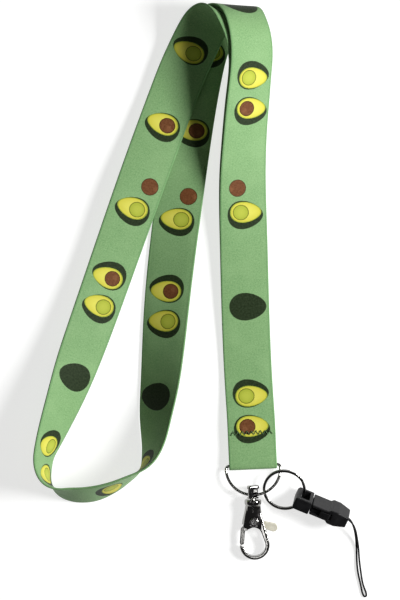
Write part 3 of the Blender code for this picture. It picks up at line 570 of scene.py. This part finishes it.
class Finish:
    """One material, with the Principled shader's constant values set on its own sockets."""

    def __init__(self, name, **constants):
        self.material = bpy.data.materials.new(name)
        self.material.use_nodes = True
        self.tree = self.material.node_tree
        self.shader = self.tree.nodes["Principled BSDF"]
        for socket, value in constants.items():
            self.shader.inputs[socket.replace("_", " ")].default_value = value

    def node(self, kind, settings=None, sockets=None, output=0):
        made = self.tree.nodes.new(kind)
        for name, value in (settings or {}).items():
            setattr(made, name, value)
        for key, value in (sockets or {}).items():
            self.feed(made.inputs[key], value)
        return Wire(self, made.outputs[output])

    def feed(self, socket, value):
        if isinstance(value, Wire):
            self.tree.links.new(value.socket, socket)
        elif isinstance(value, tuple) and socket.type == "RGBA":
            socket.default_value = (*value, 1.0)[:4]
        else:
            socket.default_value = value

    def blend(self, factor, low, high):
        """A colour between two: low where the factor is 0, high where it is 1."""
        settings = {"data_type": "RGBA"}
        return self.node("ShaderNodeMix", settings, {0: factor, 6: low, 7: high}, output=2)

    def place(self, layer=None):
        """Where a point is: in a UV layer in millimetres, or in the object in metres."""
        if layer:
            return self.node("ShaderNodeUVMap", {"uv_map": layer})
        return self.node("ShaderNodeTexCoord", output="Object")

    def parts(self, vector):
        """The vector's first two numbers, each as a wire of its own."""
        made = self.node("ShaderNodeSeparateXYZ", sockets={0: vector})
        return made, Wire(self, made.socket.node.outputs[1])

    def noise(self, vector, scale, detail=3.0, roughness=0.55):
        sockets = {"Vector": vector, "Scale": scale, "Detail": detail, "Roughness": roughness}
        return self.node("ShaderNodeTexNoise", sockets=sockets)

    def bump(self, height, distance, strength=1.0):
        sockets = {"Height": height, "Distance": distance, "Strength": strength}
        return self.node("ShaderNodeBump", sockets=sockets)

    def drive(self, **sockets):
        """Joins wires to the shader's sockets."""
        for name, value in sockets.items():
            self.feed(self.shader.inputs[name.replace("_", " ")], value)


def dress(material, *pieces):
    for piece in pieces:
        piece.data.materials.clear()
        piece.data.materials.append(material)


print("shader helpers ready")

# %% [markdown]
# ## Printed polyester
#
# Lanyard webbing is woven from flat polyester yarn, so up close it is a grid of small pillows and
# from further off it is a satin. The cloth's UVs are in millimetres, and two sine waves in them
# give the weave at its true pitch. The print only changes the colour, because the dye goes into the
# yarn: each fruit is an egg shape, drawn by comparing a squared distance with 1.

# %% Webbing: dyed and woven ground
cloth = Finish("printed_webbing", Sheen_Weight=0.02, Sheen_Roughness=0.5, Specular_IOR_Level=0.07)
spot = cloth.place("cloth")
across, along = cloth.parts(spot)

WARP_PITCH, WEFT_PITCH = 0.44, 0.38
warp = (across * (2 * math.pi / WARP_PITCH)).sine()
weft = (along * (2 * math.pi / WEFT_PITCH)).sine()
weave = warp * weft
fibre = cloth.noise(spot, 3.2, detail=4.0, roughness=0.7)
patches = cloth.noise(spot, 0.09, detail=2.0)
rim = ((across.abs() - 9.05) * 4.0).clamped()

GREEN_DEEP = (0.110, 0.240, 0.095)
GREEN = (0.250, 0.405, 0.185)
GREEN_PALE_AND_CREST_LIT = (0.275, 0.435, 0.210)
grain = cloth.noise(spot, 1.5, detail=3.0, roughness=0.8)
ground = cloth.blend(((fibre + grain * 2.0) / 3.0 - 0.33) * 3.0, GREEN_DEEP, GREEN)
# Paler in random patches, and paler on the yarn's pillow tops as a painted highlight.
ground = cloth.blend(((patches - 0.42) * 0.9 + weave * 0.10).clamped(), ground, GREEN_PALE_AND_CREST_LIT)
ground = cloth.blend(rim * (0.35 + fibre * 0.3), ground, GREEN_DEEP)
print("ground colour made with", len(cloth.tree.nodes), "nodes")


# %% Webbing: the fruit's shapes
def egg(u, v, length, width, taper):
    """A squared distance that is 1 on the outline of an egg, narrow towards positive u."""
    narrowing = 1.0 - u * (taper / length)
    return (u / length) ** 2.0 + (v / (narrowing * width)) ** 2.0


def inside(distance, softness=0.05):
    """1 inside the outline and 0 outside, with a soft edge as dye has."""
    return ((1.0 - distance) * (1 / softness)).clamped()


u, v = cloth.parts(cloth.place("fruit"))
what, _ = cloth.parts(cloth.place("kind"))
# A printed outline is never a perfect curve.
waver = (fibre - 0.5) * 0.35
u, v = u + waver, v - waver
is_hollow = (what > 0.5) * (what < 1.5)
is_stoned = (what > 1.5) * (what < 2.5)
is_stone = (what > 2.5) * (what < 3.5)
is_whole = what > 3.5
is_half = is_hollow + is_stoned

# Half a length and half a width in millimetres, and how much narrower the far end is.
SKIN_EGG, FLESH_EGG, WHOLE_EGG = (7.7, 5.9, 0.22), (6.8, 4.35, 0.2), (7.9, 5.8, 0.16)
skin = egg(u, v, *SKIN_EGG)
flesh = egg(u - 0.2, v + 1.15, *FLESH_EGG)
core = ((u + 1.9) / 3.45) ** 2.0 + ((v + 1.05) / 3.25) ** 2.0
whole = egg(u, v, *WHOLE_EGG)
loose = (u / 3.75) ** 2.0 + (v / 3.65) ** 2.0
print("fruit shapes made")

# %% Webbing: the fruit's colours
SKIN, SKIN_LIGHT = (0.010, 0.018, 0.006), (0.030, 0.044, 0.020)
FLESH, FLESH_PALE, FLESH_RIM = (0.50, 0.46, 0.040), (0.60, 0.57, 0.09), (0.22, 0.29, 0.030)
CAVITY, CAVITY_PALE, CAVITY_RIM = (0.30, 0.35, 0.030), (0.40, 0.44, 0.055), (0.08, 0.10, 0.012)
BROWN, BROWN_PALE, BROWN_RIM = (0.105, 0.034, 0.012), (0.20, 0.082, 0.034), (0.035, 0.012, 0.006)

mottle = cloth.noise(spot, 1.3, detail=3.0)
skin_colour = cloth.blend((mottle - 0.35) * 2.2, SKIN, SKIN_LIGHT)
flesh_colour = cloth.blend((flesh * 1.1 - 0.15).clamped(), FLESH_PALE, FLESH)
flesh_colour = cloth.blend(((flesh - 0.78) * 6.0).clamped(), flesh_colour, FLESH_RIM)
cavity_colour = cloth.blend((core * 1.1).clamped(), CAVITY_PALE, CAVITY)
cavity_colour = cloth.blend(((core - 0.76) * 8.0).clamped(), cavity_colour, CAVITY_RIM)
shine = (1.0 - ((u + 2.9) ** 2.0 + (v + 0.2) ** 2.0) * 0.5).clamped()
stone_colour = cloth.blend((mottle - 0.35) * 1.6 + shine * 0.5, BROWN, BROWN_PALE)
stone_colour = cloth.blend(((core - 0.74) * 7.0).clamped() * is_stoned, stone_colour, BROWN_RIM)
stone_colour = cloth.blend(((loose - 0.78) * 7.0).clamped() * is_stone, stone_colour, BROWN_RIM)

colour = cloth.blend(inside(skin) * is_half, ground, skin_colour)
colour = cloth.blend(inside(flesh) * is_half, colour, flesh_colour)
colour = cloth.blend(inside(core) * is_hollow, colour, cavity_colour)
colour = cloth.blend(inside(core) * is_stoned, colour, stone_colour)
colour = cloth.blend(inside(whole) * is_whole, colour, skin_colour)
colour = cloth.blend(inside(loose) * is_stone, colour, stone_colour)
# Painted shade: the colour darkens towards black in the hollows between the yarn's pillows.
colour = cloth.blend((0.5 - weave * 0.5) * 0.16, colour, (0.0, 0.02, 0.0))

ribs = rim * (along * (2 * math.pi / 0.9)).sine() * 0.6
height = weave * 0.5 + fibre * 0.8 + ribs
cloth.drive(
    Base_Color=colour,
    Roughness=0.46 + fibre * 0.18 + rim * 0.1,
    Normal=cloth.bump(height, 0.05 * MM, 0.55),
)
dress(cloth.material, webbing)
print("printed webbing:", len(cloth.tree.nodes), "nodes")

# %% [markdown]
# ## The seam's thread
#
# Two plies are twisted into the sewing thread, so it shows slanting lines: in bumps, and in colour
# as painted light on the crests and painted shade in the grooves. The thread is only a third of a
# millimetre thick. Slanting bands in the object's own millimetres are enough for it.

# %% Thread
thread = Finish("seam_thread", Sheen_Weight=0.2, Specular_IOR_Level=0.35)
where = thread.place()
x, y = thread.parts(where)
ply = ((x + y * 0.6) * (2 * math.pi / (0.55 * MM))).sine()
fuzz = thread.noise(where, 2600.0, detail=3.0)
THREAD_DARK, THREAD_PALE = (0.035, 0.090, 0.030), (0.11, 0.22, 0.08)
thread.drive(
    # Painted light and shade: paler on the ply's crests and darker in its grooves; the fuzz varies
    # it at random.
    Base_Color=thread.blend((ply * 0.3 + fuzz).clamped(), THREAD_DARK, THREAD_PALE),
    Roughness=0.62 + fuzz * 0.2,
    Normal=thread.bump(ply * 0.5 + fuzz, 0.03 * MM, 0.7),
)
nodes = frame["nodes"]
dress(thread.material, nodes["needle_thread"], nodes["bobbin_thread"])
print("thread:", len(thread.tree.nodes), "nodes")

# %% [markdown]
# ## Cast and moulded pieces with soft edges
#
# Die-cast metal and moulded plastic have no knife edges: tumbling, plating and the mould's own
# radii round them, and the rounding is what catches the light. The CAD solids are sharp. A copy of
# each is turned into small even cubes of surface with a voxel remesh, then relaxed a few times,
# which rounds every edge by about two voxels wherever it runs. Thin parts stay as they are.


# %% Soft-edged copies
def used_mesh(piece):
    """The piece's mesh as its modifiers leave it."""
    graph = bpy.context.evaluated_depsgraph_get()
    return bpy.data.meshes.new_from_object(piece.evaluated_get(graph))


def softened(node, name, voxel, relax, body):
    """A copy of a CAD piece with rounded edges, which stands for it."""
    piece = bpy.data.objects.new(name, nodes[node].data.copy())
    bpy.context.scene.collection.objects.link(piece)
    remesh = piece.modifiers.new("even_surface", "REMESH")
    remesh.mode = "VOXEL"
    remesh.voxel_size = voxel * MM
    smooth = piece.modifiers.new("round_edges", "SMOOTH")
    smooth.factor = 0.5
    smooth.iterations = relax
    bpy.context.view_layer.update()
    mesh = used_mesh(piece)
    piece.modifiers.clear()
    piece.data = mesh
    mesh.shade_smooth()
    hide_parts(node)
    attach(piece, body)
    print(name, len(mesh.polygons), "faces")
    return piece


hook = softened("hook_body", "cast_hook", 0.13, 6, "hook")
eye = softened("swivel_eye", "cast_eye", 0.10, 5, "eye")
gate = softened("gate_lever", "gate_and_tab", 0.10, 5, "gate")
rivet = softened("gate_rivet", "rivet", 0.08, 4, "hook")
head = softened("buckle_head", "moulded_head", 0.09, 3, "head")
socket = softened("buckle_socket", "moulded_socket", 0.12, 4, "socket")
arm_upper = softened("release_arm_upper", "moulded_arm_upper", 0.09, 4, "arm_upper")
arm_lower = softened("release_arm_lower", "moulded_arm_lower", 0.09, 4, "arm_lower")


# %% Rounded wires
def refined(node, name, body, bevel=None, levels=1):
    """A copy of a CAD wire, rounder along its length, or with its corners broken."""
    piece = bpy.data.objects.new(name, nodes[node].data.copy())
    bpy.context.scene.collection.objects.link(piece)
    weld = piece.modifiers.new("weld", "WELD")
    weld.merge_threshold = 0.001 * MM
    if bevel:
        broken = piece.modifiers.new("broken_corners", "BEVEL")
        broken.width = bevel * MM
        broken.segments = 3
        broken.limit_method = "ANGLE"
        broken.angle_limit = math.radians(40)
    else:
        rounder = piece.modifiers.new("rounder", "SUBSURF")
        rounder.levels = rounder.render_levels = levels
    bpy.context.view_layer.update()
    mesh = used_mesh(piece)
    piece.modifiers.clear()
    piece.data = mesh
    mesh.shade_smooth()
    mesh.set_sharp_from_angle(angle=math.radians(50))
    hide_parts(node)
    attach(piece, body)
    print(name, len(mesh.polygons), "faces")
    return piece


d_ring = refined("d_ring", "d_ring_wire", "ring")
split_ring = refined("split_ring", "split_ring_wire", "key_ring", bevel=0.13)
spring = refined("gate_spring", "gate_spring_wire", "hook")
knot = nodes["cord_knot"]

# %% [markdown]
# ## The spring's own mesh
#
# The spring's box and its middle are found, and the spring gets a mesh of its own.

# %% Spring
low_corner, high_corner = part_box("gate_spring")
middle = [(low + high) / 2 for low, high in zip(low_corner, high_corner)]
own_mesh(spring)

# %% [markdown]
# ## Nickel-chrome plate
#
# The hook is zinc, cast, tumbled and plated. Plating is a mirror, so nearly all that it shows is
# the room: its own share is a faint waviness left by the casting, and smudges from handling. The
# plate is given less than the usual share of reflected light, a painted shade that stands in for
# the dim surroundings it mirrors.

# %% Chrome
# Painted shade: both plate colours are darker than real plate, for the dim surroundings it mirrors;
# smudges vary them at random.
SHADE_DARKENED_PLATE, SHADE_DARKENED_PLATE_PALE = (0.29, 0.285, 0.275), (0.40, 0.395, 0.38)
chrome = Finish("nickel_chrome", Metallic=1.0, Specular_IOR_Level=0.5)
where = chrome.place()
smudge = chrome.noise(where, 260.0, detail=4.0, roughness=0.6)
scratch = chrome.noise(where, 2200.0, detail=2.0)
swell = chrome.noise(where, 420.0, detail=1.0)
chrome.drive(
    Base_Color=chrome.blend((smudge - 0.3) * 1.6, SHADE_DARKENED_PLATE, SHADE_DARKENED_PLATE_PALE),
    Roughness=(0.045 + ((smudge - 0.45) * 0.45).clamped() + ((scratch - 0.62) * 0.5).clamped()),
    Normal=chrome.bump(swell + scratch * 0.05, 0.05 * MM, 0.35),
)
dress(chrome.material, hook, eye, d_ring)
print("chrome:", len(chrome.tree.nodes), "nodes")

# %% [markdown]
# ## The gate's pale tab
#
# The gate is one lever with the same plate as the hook. Its tab is given a pale colour, a painted
# reflection of something bright above it, and a rougher, less metallic surface. One material does
# both: a mask that starts at a line across the lever changes the colour, the shine and how metallic
# it is.

# %% Gate
TAB_FROM, TAB_FADE = 28.6 * MM, 0.6 * MM

gate_finish = Finish("nickel_with_painted_tab_reflection", Specular_IOR_Level=0.5)
where = gate_finish.place()
touch = gate_finish.noise(where, 320.0, detail=4.0, roughness=0.6)
hair = gate_finish.noise(where, 2600.0, detail=3.0)
tab_mask = ((gate_finish.parts(where)[0] - TAB_FROM) * (1 / TAB_FADE)).clamped()
plate = gate_finish.blend((touch - 0.3) * 1.6, SHADE_DARKENED_PLATE, SHADE_DARKENED_PLATE_PALE)
# Painted reflection: the tab's pale colour stands in for the bright light it mirrors.
tab_painted_reflection = gate_finish.blend((touch - 0.3) * 1.6, (0.52, 0.50, 0.40), (0.74, 0.71, 0.60))
gate_finish.drive(
    Base_Color=gate_finish.blend(tab_mask, plate, tab_painted_reflection),
    Metallic=1.0 - tab_mask * 0.7,
    Roughness=0.06 + touch * 0.05 + tab_mask * (0.34 + hair * 0.06),
    Normal=gate_finish.bump(touch + hair * 0.1, 0.05 * MM, 0.4),
)
dress(gate_finish.material, gate)
print("gate:", len(gate_finish.tree.nodes), "nodes")

# %% Drawn steel
steel = Finish("drawn_steel", Metallic=1.0, Specular_IOR_Level=0.5)
where = steel.place()
smudge = steel.noise(where, 380.0, detail=3.0)
drawn = steel.noise(where, 3600.0, detail=3.0, roughness=0.7)
steel.drive(
    Base_Color=steel.blend(smudge, (0.28, 0.275, 0.27), (0.40, 0.395, 0.385)),
    Roughness=0.11 + (smudge - 0.4).clamped() * 0.35 + drawn * 0.08,
    Normal=steel.bump(drawn, 0.02 * MM, 0.4),
)
dress(steel.material, split_ring, rivet, spring)
print("steel:", len(steel.tree.nodes), "nodes")

# %% [markdown]
# ## Black acetal
#
# The buckle is moulded in black acetal, a waxy plastic. The mould is spark-eroded, which leaves a
# very fine grain, and handling polishes it in patches.

# %% Buckle plastic
plastic = Finish("black_acetal", Specular_IOR_Level=0.22)
where = plastic.place()
grain = plastic.noise(where, 5200.0, detail=2.0)
handled = plastic.noise(where, 300.0, detail=3.0)
ACETAL, ACETAL_HANDLED = (0.0035, 0.0035, 0.004), (0.009, 0.009, 0.0098)
plastic.drive(
    Base_Color=plastic.blend((handled - 0.35) * 1.8, ACETAL, ACETAL_HANDLED),
    Roughness=0.30 + handled * 0.22 + grain * 0.06,
    Normal=plastic.bump(grain + handled * 0.4, 0.03 * MM, 0.35),
)
dress(plastic.material, head, socket, arm_upper, arm_lower)
print("plastic:", len(plastic.tree.nodes), "nodes")

# %% [markdown]
# ## Braided cord
#
# Eight strands cross over each other round the cord, half of them winding each way. Two slanting
# waves, one for each way, meet as diamonds, which is what a braid looks like.

# %% Cord braid
braid = Finish("braided_cord", Sheen_Weight=0.02, Sheen_Roughness=0.4, Specular_IOR_Level=0.12)
spot = braid.place("cloth")
round_it, along = braid.parts(spot)
GIRTH = math.pi * CORD_D
one_way = (round_it * (2 * math.pi * 4 / GIRTH) + along * (2 * math.pi / 1.1)).sine()
other_way = (round_it * (2 * math.pi * 4 / GIRTH) - along * (2 * math.pi / 1.1)).sine()
strands = one_way.most(other_way)
fuzz = braid.noise(spot, 6.0, detail=3.0)
BLACK_YARN, YARN_PALE_AND_CREST_LIT = (0.002, 0.002, 0.0022), (0.010, 0.010, 0.011)
# Paler where the strands rise, a painted highlight, and paler at random with the fuzz.
braid.drive(
    Base_Color=braid.blend((strands * 0.4 + fuzz * 0.5).clamped(), BLACK_YARN, YARN_PALE_AND_CREST_LIT),
    Roughness=0.62 + fuzz * 0.2,
    Normal=braid.bump(strands + fuzz * 0.5, 0.06 * MM, 0.8),
)
dress(braid.material, phone_cord)

knotted = Finish("cord_knot_fibre", Sheen_Weight=0.02, Specular_IOR_Level=0.12)
where = knotted.place()
x, y = knotted.parts(where)
turns = ((x * 0.8 + y) * (2 * math.pi / (0.8 * MM))).sine()
fuzz = knotted.noise(where, 3000.0, detail=3.0)
# Paler on the crests of the turns, a painted highlight, and paler at random with the fuzz.
knotted.drive(
    Base_Color=knotted.blend((turns * 0.4 + fuzz * 0.5).clamped(), BLACK_YARN, YARN_PALE_AND_CREST_LIT),
    Roughness=0.65 + fuzz * 0.2,
    Normal=knotted.bump(turns + fuzz * 0.5, 0.1 * MM, 0.8),
)
dress(knotted.material, knot)
print("braid:", len(braid.tree.nodes), "nodes")

# %% [markdown]
# ## Floor and light
#
# The lanyard lies on a light table, a pale sheet that glows a little, so that the shadows on it
# stay faint. One soft light stands close by on the right, and low, so that the webbing's turn
# throws its shadow to the left and the leaning faces differ in brightness. It is kept to the side
# so that the polished metal, which faces straight up, mirrors mostly the dim room. A narrow strip
# and a small panel overhead give the metal its bright lines, and are too weak to light anything
# else.

# %% Floor
bm = bmesh.new()
bmesh.ops.create_grid(bm, x_segments=1, y_segments=1, size=1.5)
floor = new_piece("floor", bm)
floor.location = (0, 0, -0.1 * MM)
GLOW = 0.72
paper = Finish("light_table", Roughness=0.85, Specular_IOR_Level=0.2, Emission_Strength=GLOW)
dust = paper.noise(paper.place(), 40.0, detail=3.0)
paper.drive(
    Base_Color=paper.blend(dust, (0.38, 0.38, 0.38), (0.40, 0.40, 0.40)),
    Emission_Color=paper.blend(dust, (0.99, 0.99, 0.985), (1.0, 1.0, 0.995)),
)
dress(paper.material, floor)
print("floor size:", floor.dimensions.x, "m")


# %% Lights
def softbox(name, place, size, power, aim=(0, 0, 0)):
    data = bpy.data.lights.new(name, "AREA")
    data.shape = "RECTANGLE"
    data.size, data.size_y = size
    data.energy = power
    lamp = bpy.data.objects.new(name, data)
    lamp.location = place
    lamp.rotation_euler = (Vector(aim) - Vector(place)).to_track_quat("-Z", "Y").to_euler()
    bpy.context.scene.collection.objects.link(lamp)
    return lamp


softbox("key", (0.48, 0.0, 0.38), (0.20, 0.20), 6.9)
softbox("fill", (-0.50, 0.10, 0.70), (0.50, 0.30), 0.25)
softbox("strip", (0.09, 0.0, 0.95), (0.045, 0.50), 0.35)
softbox("panel", (0.045, -0.35, 0.86), (0.02, 0.10), 0.02)

world = bpy.data.worlds.new("room")
world.use_nodes = True
background = world.node_tree.nodes["Background"]
background.inputs["Color"].default_value = (1.0, 1.0, 1.0, 1.0)
background.inputs["Strength"].default_value = 0.03
bpy.context.scene.world = world
bpy.context.scene.view_settings.view_transform = "Standard"
